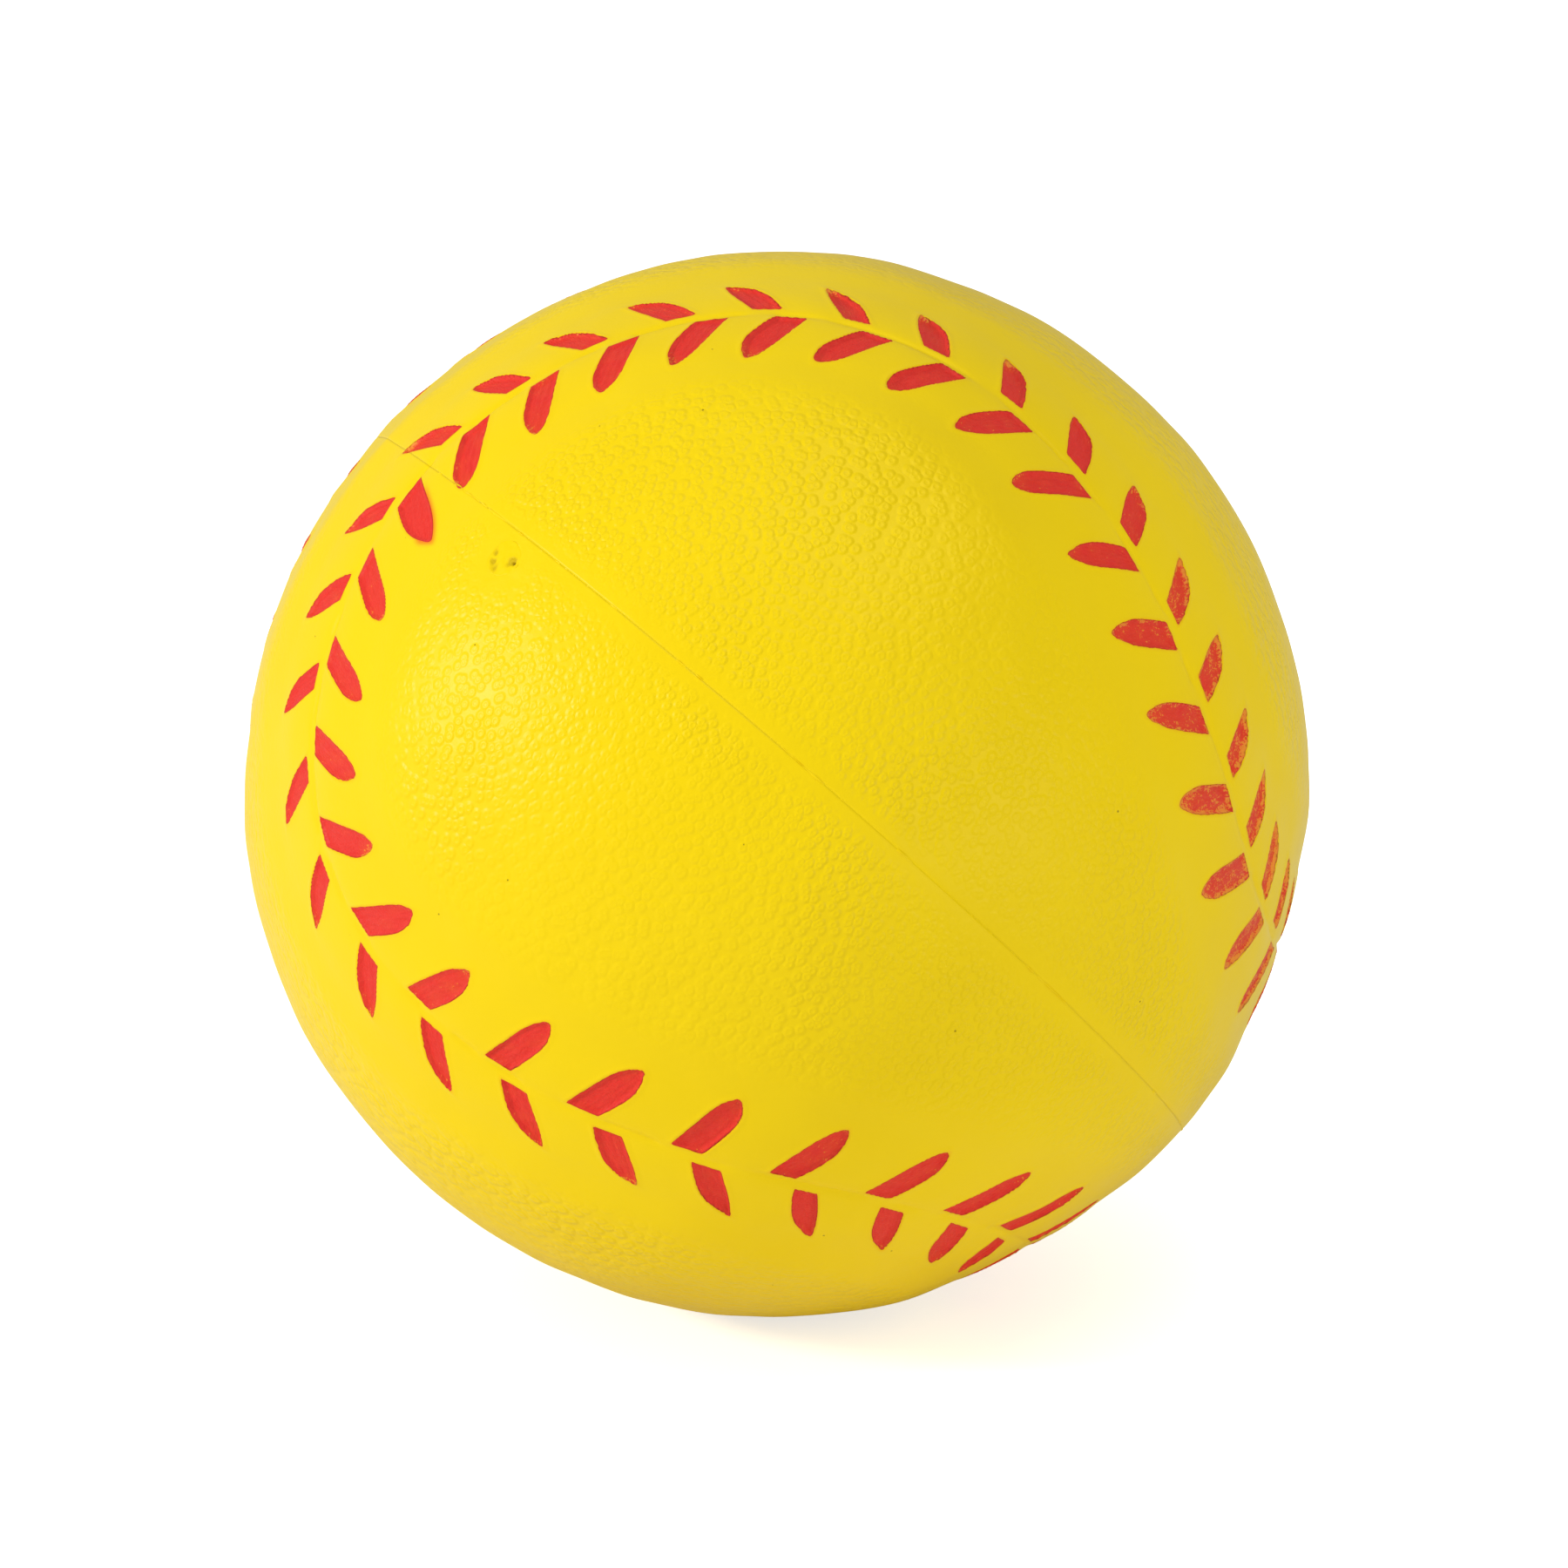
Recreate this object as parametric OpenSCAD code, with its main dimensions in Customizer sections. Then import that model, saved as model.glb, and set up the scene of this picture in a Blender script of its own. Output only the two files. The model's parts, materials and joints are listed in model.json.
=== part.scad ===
// Round foam stress ball in a softball pattern: a self-skinned foam moulding with
// a figure-eight seam and two rows of painted, sunk stitches. Origin at the centre.

/* [Ball] */
// Outside diameter of the ball
ball_d = 63; // [55:0.5:75]
// Thickness of the dense skin that forms against the mould
skin_t = 1.2; // [0.9:0.1:2]

/* [Lie on the desk] */
// Tip of the mould axes about X, taken first
lie_x = -43.5; // [-180:0.5:180]
// Tip of the mould axes about Y, taken second
lie_y = -9; // [-90:0.5:90]
// Turn of the mould axes about Z, taken last
lie_z = -78.5; // [-180:0.5:180]

/* [Seam] */
// Angle at the centre from the middle of a neck to the seam beside it
neck_half = 18.2; // [17:0.1:22]
// How much wider one neck is than that, and the other narrower, in degrees
neck_shift = 4.4; // [0:0.1:5]
// Sideways swell of the four lobes, in degrees
lobe_swell = 34; // [28:0.5:34.5]
// Difference in swell between the lobes of the two panels, in degrees
swell_skew = -2.1; // [-3:0.1:0]
// Flattening of each lobe's end, in degrees
lobe_flat = 1.8; // [0:0.1:3]
// Skew of each lobe about its own middle, in degrees
lobe_skew = 3.2; // [0:0.1:4]
// Skew of each lobe's end, in degrees
end_skew = 0.6; // [0:0.1:1.5]
// Turn of the seam about the neck axis, against the mould
seam_turn = 2; // [-5:0.5:5]
// Lean of the seam's neck axis out of the parting plane
seam_lean = 1.9; // [-3:0.1:3]
// Turn of the leaned seam within the parting plane
seam_roll = 3.6; // [0:0.1:5]
// Radius of the crease along the seam
crease_r = 0.3; // [0.2:0.05:0.4]

/* [Stitches] */
// Pairs of stitches round the whole seam
pairs = 72; // [48:4:80]
// Width of a stitch
stitch_w = 1.6; // [1.2:0.1:1.9]
// Length of a stitch in row one, the longer row
stitch_len_1 = 5; // [4:0.1:5.5]
// Length of a stitch in row two, the shorter row
stitch_len_2 = 3.8; // [3.2:0.1:4.6]
// Angle between a stitch in row one and the seam, at the seam's crossing of the parting plane
stitch_ang_1 = 59; // [50:1:64]
// The same angle for row two
stitch_ang_2 = 58; // [50:1:64]
// How much steeper the stitches stand half a loop away
stitch_steepen = 8; // [0:1:12]
// Depth of a stitch's pocket
pocket_deep = 0.45; // [0.3:0.05:0.6]
// Thickness of the paint on a pocket's floor
paint_t = 0.15; // [0.1:0.05:0.2]

/* [Parting line and pour hole] */
// Radius of the trimmed bead along the parting line
flash_r = 0.18; // [0.1:0.02:0.3]
// Radius of the trimmed pour nub
nub_r = 1.1; // [0.8:0.1:1.5]
// Direction of the pour nub round the parting line
nub_turn = -51.5; // [-180:0.5:180]
// Distance of the pour nub's middle below the parting line
nub_drop = 1.7; // [1.4:0.1:3]
// How far the nub's cut end sits under the skin's surface
nub_sunk = 0.15; // [0.05:0.05:0.3]

/* [Hidden] */
$fn = 96;
ball_r = ball_d / 2;
core_r = ball_r - skin_t;
yellow = [0.95, 0.84, 0.06];
pale_yellow = [0.96, 0.90, 0.45];
red = [0.88, 0.16, 0.13];
// Where each row's stitches stand along the seam, in degrees of arc past an even spacing
lead_1 = 1.1;
lead_2 = 4.2;
drift_even = 4.4;
drift_skew = 1.4;
drift_twice = 1.5;
// Angle at the centre from the seam to the middle of a stitch
aside_1 = 4.4;
aside_2 = 4.2;
// Stitches whose middle is nearer to the parting plane than this are cut into both halves
straddle = 3;
mean_ang_1 = stitch_ang_1 + stitch_steepen / 2;
mean_ang_2 = stitch_ang_2 + stitch_steepen / 2;
// Width of the land left between a stitch and the seam
seam_gap = 0.4;
// How far a leaf's widest place is shifted outward, as a share of its length
leaf_shift = 0.1;
// How far a stitch's inner tip trails its middle along the seam, in degrees
tip_back = 2.8;
// Length left uncut at each end of a crease cut, as a share of the spacing
crease_gap = 0.2;
over = 1;

function unit(v) = v / norm(v);

// The seam as a closed curve on a unit sphere, for a parameter t of 0 to 720 degrees.
// The neck axis is Y, the parting plane is XY, and the lobes of one panel lie along X.
function seam_polar(t) = 90 + neck_shift - (90 - neck_half + lobe_flat) * cos(t)
    + lobe_flat * cos(3 * t) + end_skew * sin(3 * t);
function seam_azimuth(t) = t / 2 + lobe_swell * sin(2 * t) + swell_skew * sin(t)
    + lobe_skew * cos(2 * t) + seam_turn;
function leaned(v) = [v.x, v.y * cos(seam_lean) - v.z * sin(seam_lean),
                      v.y * sin(seam_lean) + v.z * cos(seam_lean)];
function rolled(v) = [v.x * cos(seam_roll) - v.y * sin(seam_roll),
                      v.x * sin(seam_roll) + v.y * cos(seam_roll), v.z];
function seam(t) = rolled(leaned([sin(seam_polar(t)) * sin(seam_azimuth(t)), cos(seam_polar(t)),
                                  sin(seam_polar(t)) * cos(seam_azimuth(t))]));
function seam_way(t) = unit(seam(t + 0.5) - seam(t - 0.5));

// Arc length along the seam, in degrees, against the parameter
seam_step = 2;
seam_steps = 720 / seam_step;
seam_arcs = [for (i = 0, s = 0; i <= seam_steps;
                  s = s + acos(seam(i * seam_step) * seam((i + 1) * seam_step)), i = i + 1) s];
seam_long = seam_arcs[seam_steps];
arc_table = [for (i = [0 : seam_steps]) [seam_arcs[i], i * seam_step]];
function wrapped(s) = s - seam_long * floor(s / seam_long);
function seam_at(s) = lookup(wrapped(s), arc_table);

// A stitch as [its middle on the unit sphere, the way it points away from the seam]
function half_loop(k) = 720 * (k + 0.5) / pairs;
function stitch_arc(k, lead) = seam_long * (1 / 4 + (k + 0.5) / pairs) + lead
    - drift_even * cos(half_loop(k)) + drift_skew * sin(half_loop(k))
    - drift_twice * sin(2 * half_loop(k));
function steepness(k, ang) = ang + stitch_steepen * (1 - cos(half_loop(k))) / 2;
function stitch_of(t, ang, aside, row) =
    let (p = seam(t), along = seam_way(t), out = row * unit(cross(p, along)),
         middle = p * cos(aside) + out * sin(aside),
         outward = out * cos(aside) - p * sin(aside))
    [middle, cos(ang) * along + sin(ang) * outward];
row_1 = [for (k = [0 : pairs - 1])
         stitch_of(seam_at(stitch_arc(k, lead_1)), steepness(k, stitch_ang_1), aside_1, 1)];
row_2 = [for (k = [0 : pairs - 1])
         stitch_of(seam_at(stitch_arc(k, lead_2)), steepness(k, stitch_ang_2), aside_2, -1)];
function in_half(stitches, side, slack) =
    [for (s = stitches) if (side * s[0].z * ball_r > -slack) s];

// Puts children on the ball's surface at p, with their X along way and their Z outward
module on_skin(p, way) {
    x = unit(way - (way * p) * p);
    y = cross(p, x);
    multmatrix([[x.x, y.x, p.x, p.x * ball_r],
                [x.y, y.y, p.y, p.y * ball_r],
                [x.z, y.z, p.z, p.z * ball_r],
                [0, 0, 0, 1]])
        children();
}

// Turns the mould axes to the way the ball lies
module lie() {
    rotate([lie_x, lie_y, lie_z])
        children();
}

// A stitch's outline: a leaf of two arcs, blunt at its outer end and cut off along the seam.
// row is 1 or -1, for the side of the seam that it stands on.
module leaf(long, ang, aside, row) {
    arc_r = (long * long + stitch_w * stitch_w) / (2 * stitch_w);
    mirror([0, row > 0 ? 0 : 1])
        intersection() {
            translate([long * leaf_shift, stitch_w / 2 - arc_r])
                circle(arc_r, $fn = 200);
            translate([long * leaf_shift, arc_r - stitch_w / 2])
                circle(arc_r, $fn = 200);
            translate([long * leaf_shift / 2, 0])
                circle(long * (1 - leaf_shift / 2) / 2);
            rotate(90 - ang)
                translate([seam_gap - ball_r * sin(aside), -long])
                    square(2 * long);
        }
}

// Stands a leaf of the given thickness on the pocket floor of each stitch
module leaves(stitches, long, ang, aside, row, thick) {
    for (s = stitches)
        on_skin(s[0], s[1])
            translate([0, 0, -pocket_deep])
                linear_extrude(thick)
                    leaf(long, ang, aside, row);
}

module row_1_leaves(side, slack, thick) {
    leaves(in_half(row_1, side, slack), stitch_len_1, mean_ang_1, aside_1, 1, thick);
}

module row_2_leaves(side, slack, thick) {
    leaves(in_half(row_2, side, slack), stitch_len_2, mean_ang_2, aside_2, -1, thick);
}

// The crease, as one short round cut along the seam between each two pairs of stitches
module crease(side) {
    for (k = [0 : pairs - 1]) {
        a = seam(seam_at(stitch_arc(k + crease_gap, lead_1 - tip_back)));
        b = seam(seam_at(stitch_arc(k + 1 - crease_gap, lead_1 - tip_back)));
        if (side * (a + b).z * ball_r > -straddle)
            on_skin(unit(a + b), b - a)
                rotate([0, 90, 0])
                    cylinder(r = crease_r, h = norm(b - a) * ball_r, center = true, $fn = 24);
    }
}

function nub_point() =
    let (down = asin(nub_drop / ball_r))
    [cos(down) * cos(nub_turn), cos(down) * sin(nub_turn), -sin(down)];

module skin_half(side) {
    color(yellow) lie() difference() {
        sphere(ball_r);
        sphere(core_r);
        translate([0, 0, -side * ball_d])
            cube(2 * ball_d, center = true);
        row_1_leaves(side, straddle, pocket_deep + over);
        row_2_leaves(side, straddle, pocket_deep + over);
        crease(side);
        if (side < 0)
            on_skin(nub_point(), [0, 0, 1])
                cylinder(r = nub_r, h = 4 * skin_t, center = true);
    }
}

module skin_upper_half() {
    skin_half(1);
}

module skin_lower_half() {
    skin_half(-1);
}

module foam_core() {
    color(pale_yellow) sphere(core_r);
}

module stitch_paint_row1_upper() {
    color(red) lie() row_1_leaves(1, 0, paint_t);
}

module stitch_paint_row1_lower() {
    color(red) lie() row_1_leaves(-1, 0, paint_t);
}

module stitch_paint_row2_upper() {
    color(red) lie() row_2_leaves(1, 0, paint_t);
}

module stitch_paint_row2_lower() {
    color(red) lie() row_2_leaves(-1, 0, paint_t);
}

// The witness bead that trimming leaves along the parting line
module parting_flash() {
    color(yellow) lie() rotate_extrude() difference() {
        translate([ball_r, 0])
            circle(flash_r, $fn = 24);
        circle(ball_r, $fn = 200);
    }
}

// The foam left in the pour hole, cut off just under the surface
module pour_nub() {
    color(pale_yellow) lie() difference() {
        intersection() {
            on_skin(nub_point(), [0, 0, 1])
                cylinder(r = nub_r, h = 4 * skin_t, center = true);
            sphere(ball_r - nub_sunk);
        }
        sphere(core_r);
    }
}

foam_core();
skin_upper_half();
skin_lower_half();
stitch_paint_row1_upper();
stitch_paint_row1_lower();
stitch_paint_row2_upper();
stitch_paint_row2_lower();
parting_flash();
pour_nub();
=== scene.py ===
# Looks of a foam stress ball in a softball pattern: a moulded yellow skin with a sunk
# figure-eight seam, two rows of sunk, red-painted stitches, a parting line and a pour scar.
import json
import math

import bpy
import numpy as np
from mathutils import Euler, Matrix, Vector


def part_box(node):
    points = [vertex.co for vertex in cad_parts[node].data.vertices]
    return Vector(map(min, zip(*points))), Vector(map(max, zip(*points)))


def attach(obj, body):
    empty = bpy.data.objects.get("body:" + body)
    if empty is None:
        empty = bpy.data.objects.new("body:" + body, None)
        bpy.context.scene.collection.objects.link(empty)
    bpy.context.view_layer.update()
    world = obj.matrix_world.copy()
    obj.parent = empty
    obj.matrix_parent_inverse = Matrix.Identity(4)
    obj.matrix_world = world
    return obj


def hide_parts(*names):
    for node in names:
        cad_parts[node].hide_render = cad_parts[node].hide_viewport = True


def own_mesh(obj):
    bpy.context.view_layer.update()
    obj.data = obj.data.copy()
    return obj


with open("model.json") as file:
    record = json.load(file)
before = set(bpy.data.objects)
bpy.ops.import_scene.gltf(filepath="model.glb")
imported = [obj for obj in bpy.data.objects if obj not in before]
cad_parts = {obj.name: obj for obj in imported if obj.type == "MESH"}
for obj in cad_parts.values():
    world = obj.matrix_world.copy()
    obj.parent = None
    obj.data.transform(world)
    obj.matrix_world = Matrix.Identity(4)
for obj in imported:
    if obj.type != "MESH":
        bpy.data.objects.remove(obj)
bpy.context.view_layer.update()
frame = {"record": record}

MM = 0.001

# From the imported frame: the ball's and the core's radii in mm
MOUNTS = {mount["name"]: mount for mount in frame["record"]["mounts"]}
BALL_R = -MOUNTS["desk_rest"]["pos_m"][2] / MM
CORE_R = (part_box("foam_core")[1].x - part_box("foam_core")[0].x) / 2 / MM

# How the mould's axes lie on the desk, and its seam, as the CAD model has them (degrees)
LIE = np.array(Euler([math.radians(a) for a in (-43.5, -9, -78.5)], "XYZ").to_matrix())
NECK_HALF = 18.2
NECK_SHIFT = 4.4
LOBE_SWELL = 34
SWELL_SKEW = -2.1
LOBE_FLAT = 1.8
LOBE_SKEW = 3.2
END_SKEW = 0.6
SEAM_TURN = 2
SEAM_LEAN = 1.9
SEAM_ROLL = 3.6

# Stitches, as the CAD model has them. The pairs are counted from beside the parting line, a quarter of the
# way along the seam, and they drift along it and steepen on the way round (degrees)
PAIRS = 72
COUNT_FROM = 0.25
STITCH_STEEPEN = 8
DRIFT_EVEN = 4.4
DRIFT_SKEW = 1.4
DRIFT_TWICE = 1.5

# Each row stands on one side of the seam. Its stitches are long and wide, and grow by a little on one half
# of the loop (mm). They stand at an angle to the seam, with their middles aside from it and the whole row
# moved along by its lead (degrees), and are cut off at a gap from it (mm). belly is the share of the width
# on the trailing side, widest the place of the full width as a share of the length, tip the end's shift to
# the trailing side (mm), full the range of the taper's exponent, and blunt the rounding of the ends (mm).
ROWS = {
    1: {
        "side": 1, "long": 5.8, "grow": 0.0, "wide": 1.62, "angle": 59, "lead": 1.1, "aside": 4.5,
        "gap": 0.38, "belly": 0.4, "widest": -0.02, "tip": 0.0, "full": (2.6, 4.2), "blunt": 0.5,
    },
    2: {
        "side": -1, "long": 4.4, "grow": 0.2, "wide": 1.5, "angle": 58, "lead": 4.2, "aside": 4.2,
        "gap": 0.6, "belly": 0.6, "widest": -0.1, "tip": -0.3, "full": (1.9, 2.8), "blunt": 0.25,
    },
}

# The taper is slower towards the seam by this factor, and the cut's corners are rounded (mm)
ROOT_REACH = 1.7
CUT_ROUND = 0.05

# How far each stitch strays from its row: long, wide and blunt by a share of themselves, turn in degrees,
# and the others by this much
STRAY = {"long": 0.05, "wide": 0.08, "belly": 0.06, "widest": 0.05, "tip": 0.15, "blunt": 0.3, "turn": 4}

# The one stitch, beside the parting line, whose paint ran, and its shape (mm and degrees)
SMEARED = 0
SMEARED_SHAPE = {"long": 6.3, "width": 1.95, "turn": 9, "tip": 0.1, "full": 2.8}

# The pour nub, as the CAD model has it
NUB_R = 1.1
NUB_TURN = -51.5
NUB_DROP = 1.7

# Relief of the skin, in millimetres: a smooth band that dips beside the seam, a valley and a crease along
# it, pockets for the stitches with a raised collar and fine ridges (with their rate in radians per mm),
# and slow swells over the whole skin
BAND_DIP = 0.28
BAND_EDGE = (4.5, 8.5)
VALLEY = 0.11
VALLEY_W = 0.9
VALLEY_ROUND = 0.15
CREASE = 0.1
CREASE_W = 0.2
POCKET = 0.19
POCKET_WALL = (-0.16, 0.06)
COLLAR = 0.035
COLLAR_EDGE = (0.12, 0.42)
RIDGE = 0.02
RIDGE_RATE = 14
SWELL = 0.035
SMALL_SWELL = 0.012

# The parting line: the cut where it was trimmed too deep, the step between the two halves and how far it
# takes to fade, and the bead that trimming left (mm)
TRIM_CUT = 0.015
TRIM_CUT_W = 0.2
STEP = 0.02
STEP_W = 0.15
STEP_FADE = 2.5
BEAD_HALF_W = 0.07
BEAD_SUNK = 0.04
BEAD_RISE = 0.08
BEAD_DEEP = 0.06

# The bead's outline: places across it, as shares of its half width, and up, as shares of its height or depth
BEAD_OUTLINE = [(-1, -1.5), (-1, -0.4), (-0.62, 0.55), (0, 1), (0.62, 0.55), (1, -0.4), (1, -1.5)]

# The pour scar: the dish in the skin round it, and the hole under the plug (mm)
SCAR_DISH = 0.03
SCAR_EDGE = (0.9, 1.9)
HOLE_DEEP = 0.25

# The two torn places in the plug's end and the pinhole in one of them: the middle and the half size, aside
# and down, and the depths (mm)
LONG_TEAR = (-0.66, -0.2, 0.26, 0.7)
SHORT_TEAR = (0.5, 0.38, 0.34, 0.26)
PINHOLE = (0.62, 0.48, 0.08, 0.08)
TEAR_DEEP = 0.07
PINHOLE_DEEP = 0.2

# Where the pebble grain starts, from the seam, the parting line and the nub (mm)
GRAIN_EDGE = (6.0, 9.5)
GRAIN_FROM_LINE = (0.2, 1.6)
GRAIN_FROM_NUB = (1.5, 3)

# The paint: how far a film stands off the pocket's floor to either side, and how far it reaches over the
# pocket's outline (mm). The ranges draw how thin each stitch's paint is, and its outer end's. Those that
# face the worn way in the frame are thinner, by the cosine between them
FILM = 0.03
FILM_OVER = 0.05
THIN = (-0.1, 0.14)
END_THIN = (0.1, 0.6)
WORN_WAY = (0.97, -0.18, 0.12)
WORN_EDGE = (0.72, 0.98)

# How far apart the stitches lie in the noise of their streaks, so that no two look alike (mm)
BLADE_APART = 7.0

# Mesh fineness: cuts along a quarter circle, steps round a ring, and rings across the plug
SPHERE_CUTS = 96
INNER_CUTS = 24
FOAM_CUTS = 40
RING_STEPS = 1400
PLUG_STEPS = 72
PLUG_BASE_RINGS = 6
PLUG_RINGS = 18

# The skin's triangles are halved twice, first and then again where they lie within these reaches of a
# stitch's outline, the seam, the parting line and the nub (mm)
HALVINGS = ((1, 1.1, 0.6, 2.6), (0.6, 0.4, 0.2, 1.9))

# How deep the plug stands in the foam, and the depths of the rings up its wall (mm)
PLUG_DEEP = 1.0
PLUG_WALL = (0.7, 0.45)


def unit(v):
    return v / np.linalg.norm(v, axis=-1, keepdims=True)


def smooth(low, high, x):
    """0 below low, 1 above high, and a smooth step between."""
    share = np.clip((x - low) / (high - low), 0, 1)
    return share * share * (3 - 2 * share)


def turned(a, b, degrees):
    """The pair of coordinates a and b, turned from a towards b."""
    angle = math.radians(degrees)
    return a * math.cos(angle) - b * math.sin(angle), a * math.sin(angle) + b * math.cos(angle)


def waves(points, length, seed, count=24):
    """Smooth noise of spread 1 whose features are about length mm wide: sine waves in seeded ways."""
    rng = np.random.default_rng(seed)
    ways = unit(rng.normal(size=(count, 3)))
    rates = 2 * math.pi / (length * rng.uniform(0.7, 1.5, count))
    phases = rng.uniform(0, 2 * math.pi, count)
    total = np.zeros(len(points))
    for way, rate, phase in zip(ways, rates, phases):
        total += np.sin(points @ way * rate + phase)
    return total * math.sqrt(2 / count)


# The seam: a closed curve on a unit sphere in the mould's axes, for t of 0 to 720 degrees

def seam_point(t):
    turn = np.radians(t)
    polar = np.radians(90 + NECK_SHIFT - (90 - NECK_HALF + LOBE_FLAT) * np.cos(turn)
                       + LOBE_FLAT * np.cos(3 * turn) + END_SKEW * np.sin(3 * turn))
    azimuth = np.radians(t / 2 + LOBE_SWELL * np.sin(2 * turn) + SWELL_SKEW * np.sin(turn)
                         + LOBE_SKEW * np.cos(2 * turn) + SEAM_TURN)
    x, y, z = np.sin(polar) * np.sin(azimuth), np.cos(polar), np.sin(polar) * np.cos(azimuth)
    y, z = turned(y, z, SEAM_LEAN)
    x, y = turned(x, y, SEAM_ROLL)
    return np.stack([x, y, z], -1)


def seam_way(t):
    """The direction along the seam."""
    return unit(seam_point(t + 0.5) - seam_point(t - 0.5))


SEAM_T = np.linspace(0, 720, 1441)
SEAM = seam_point(SEAM_T)
SEAM_SIDE = unit(np.cross(SEAM, seam_way(SEAM_T)))
SEAM_STEP = np.degrees(np.linalg.norm(np.diff(SEAM, axis=0), axis=1))
SEAM_ARC = np.concatenate([[0], np.cumsum(SEAM_STEP)])
SEAM_LONG = SEAM_ARC[-1]


def seam_distance(p, chunk=20000):
    """For unit vectors p: the distance from the seam in mm, worked out a chunk at a time to save memory."""
    distance = np.zeros(len(p))
    curve = SEAM[:-1].T.astype(np.float32)
    for start in range(0, len(p), chunk):
        part = p[start:start + chunk]
        nearest = np.argmax(part.astype(np.float32) @ curve, axis=1)
        sine = np.sum(part * SEAM_SIDE[nearest], axis=1)
        distance[start:start + chunk] = np.abs(np.arcsin(np.clip(sine, -1, 1))) * BALL_R
    return distance


# Stitches: each has its middle and its own two directions on the ball's surface

def make_stitches():
    """Both rows of stitches, one after the other."""
    rng = np.random.default_rng(11)
    made = []

    def scaled(value, key):
        return value * rng.uniform(1 - STRAY[key], 1 + STRAY[key])

    def shifted(value, key):
        return value + rng.uniform(-STRAY[key], STRAY[key])

    for number, row in ROWS.items():
        k = np.arange(PAIRS)
        loop = np.radians(720 * (k + 0.5) / PAIRS)
        arc = (SEAM_LONG * (COUNT_FROM + (k + 0.5) / PAIRS) + row["lead"]
               - DRIFT_EVEN * np.cos(loop) + DRIFT_SKEW * np.sin(loop) - DRIFT_TWICE * np.sin(2 * loop))
        t = np.interp(arc % SEAM_LONG, SEAM_ARC, SEAM_T)
        steep = np.radians(row["angle"] + STITCH_STEEPEN * (1 - np.cos(loop)) / 2)
        aside = math.radians(row["aside"])
        seam, along = seam_point(t), seam_way(t)
        out = row["side"] * unit(np.cross(seam, along))
        middle = seam * math.cos(aside) + out * math.sin(aside)
        outward = out * math.cos(aside) - seam * math.sin(aside)
        way = np.cos(steep)[:, None] * along + np.sin(steep)[:, None] * outward
        x = unit(way - np.sum(way * middle, axis=1, keepdims=True) * middle)
        y = row["side"] * np.cross(middle, x)
        for i in k:
            made.append({
                "row": number, "middle": middle[i], "x": x[i], "y": y[i],
                "long": scaled(row["long"] + row["grow"] * math.sin(loop[i]), "long"),
                "width": scaled(row["wide"], "wide"),
                "belly": shifted(row["belly"], "belly"),
                "widest": shifted(row["widest"], "widest"),
                "tip": shifted(row["tip"], "tip"),
                "full": rng.uniform(*row["full"]),
                "blunt": scaled(row["blunt"], "blunt"),
                "turn": shifted(0, "turn"),
                "angle": steep[i], "gap": row["gap"], "cut": row["gap"] - BALL_R * math.sin(aside),
                "thin": rng.uniform(*THIN), "end_thin": rng.uniform(*END_THIN),
            })
    made[SMEARED].update(SMEARED_SHAPE)
    return made


STITCHES = make_stitches()


def of_stitches(key):
    """One value of every stitch, as an array."""
    return np.array([stitch[key] for stitch in STITCHES])


def soft_max(a, b, round_off):
    """The larger of a and b, with the corner between them rounded off."""
    return np.maximum(a, b) + np.maximum(round_off - np.abs(a - b), 0) ** 2 / (4 * round_off)


def leaf_distance(x, y, stitch):
    """Signed distance in mm from a stitch's outline, less than 0 inside."""
    u, v = turned(x, y, -stitch["turn"])
    widest = stitch["widest"] * stitch["long"]
    reach = stitch["long"] / 2 - widest
    share = np.abs(u - widest) / np.where(u > widest, reach, ROOT_REACH * reach)
    taper = 1 - share ** stitch["full"]
    slope = stitch["width"] / 2 * stitch["full"] * share ** (stitch["full"] - 1) / reach
    middle = stitch["tip"] * np.where(u > widest, share, 0) ** 2
    trailing = v - middle - stitch["belly"] * stitch["width"] * taper
    leading = middle - v - (1 - stitch["belly"]) * stitch["width"] * taper
    body = soft_max(trailing, leading, stitch["blunt"]) / np.sqrt(1 + slope ** 2)
    cut = stitch["cut"] - (x * math.sin(stitch["angle"]) + y * math.cos(stitch["angle"]))
    return soft_max(body, cut, CUT_ROUND)


# Outlines are looked for this far from a stitch's middle, and the distance is this where there is none (mm)
LEAF_REACH = 4.8
NO_LEAF = 9.0


def nearest_leaf(p):
    """For unit vectors p: distance from the nearest stitch's outline, its number, and the place in it."""
    distance = np.full(len(p), NO_LEAF)
    number = np.zeros(len(p), int)
    place = np.zeros((len(p), 2))
    reach = math.cos(LEAF_REACH / BALL_R)
    for i, stitch in enumerate(STITCHES):
        near = np.flatnonzero(p @ stitch["middle"] > reach)
        x, y = p[near] @ stitch["x"] * BALL_R, p[near] @ stitch["y"] * BALL_R
        found = leaf_distance(x, y, stitch)
        closer = found < distance[near]
        chosen = near[closer]
        distance[chosen], number[chosen] = found[closer], i
        place[chosen] = np.stack([x, y], -1)[closer]
    return distance, number, place


# The pour scar beside the parting line

def nub_axes():
    """The way out from the ball's centre through the nub, and two ways across it."""
    down, turn = math.asin(NUB_DROP / BALL_R), math.radians(NUB_TURN)
    out = np.array([math.cos(down) * math.cos(turn), math.cos(down) * math.sin(turn), -math.sin(down)])
    x = unit(np.cross([0, 0, 1], out))
    return out, x, np.cross(out, x)


NUB_OUT, NUB_X, NUB_Y = nub_axes()


def nub_distance(p):
    """For unit vectors p: the distance from the nub's middle in mm."""
    across = np.hypot(p @ NUB_X * BALL_R, p @ NUB_Y * BALL_R)
    return np.where(p @ NUB_OUT > 0, across, 2 * BALL_R)


def trim(p):
    """How the parting line was trimmed, from 0, cut into the skin, to 1, left standing."""
    return smooth(-0.5, 0.7, waves(p * BALL_R, 9, seed=21) + 0.5 * waves(p * BALL_R, 1.6, seed=22))


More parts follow.
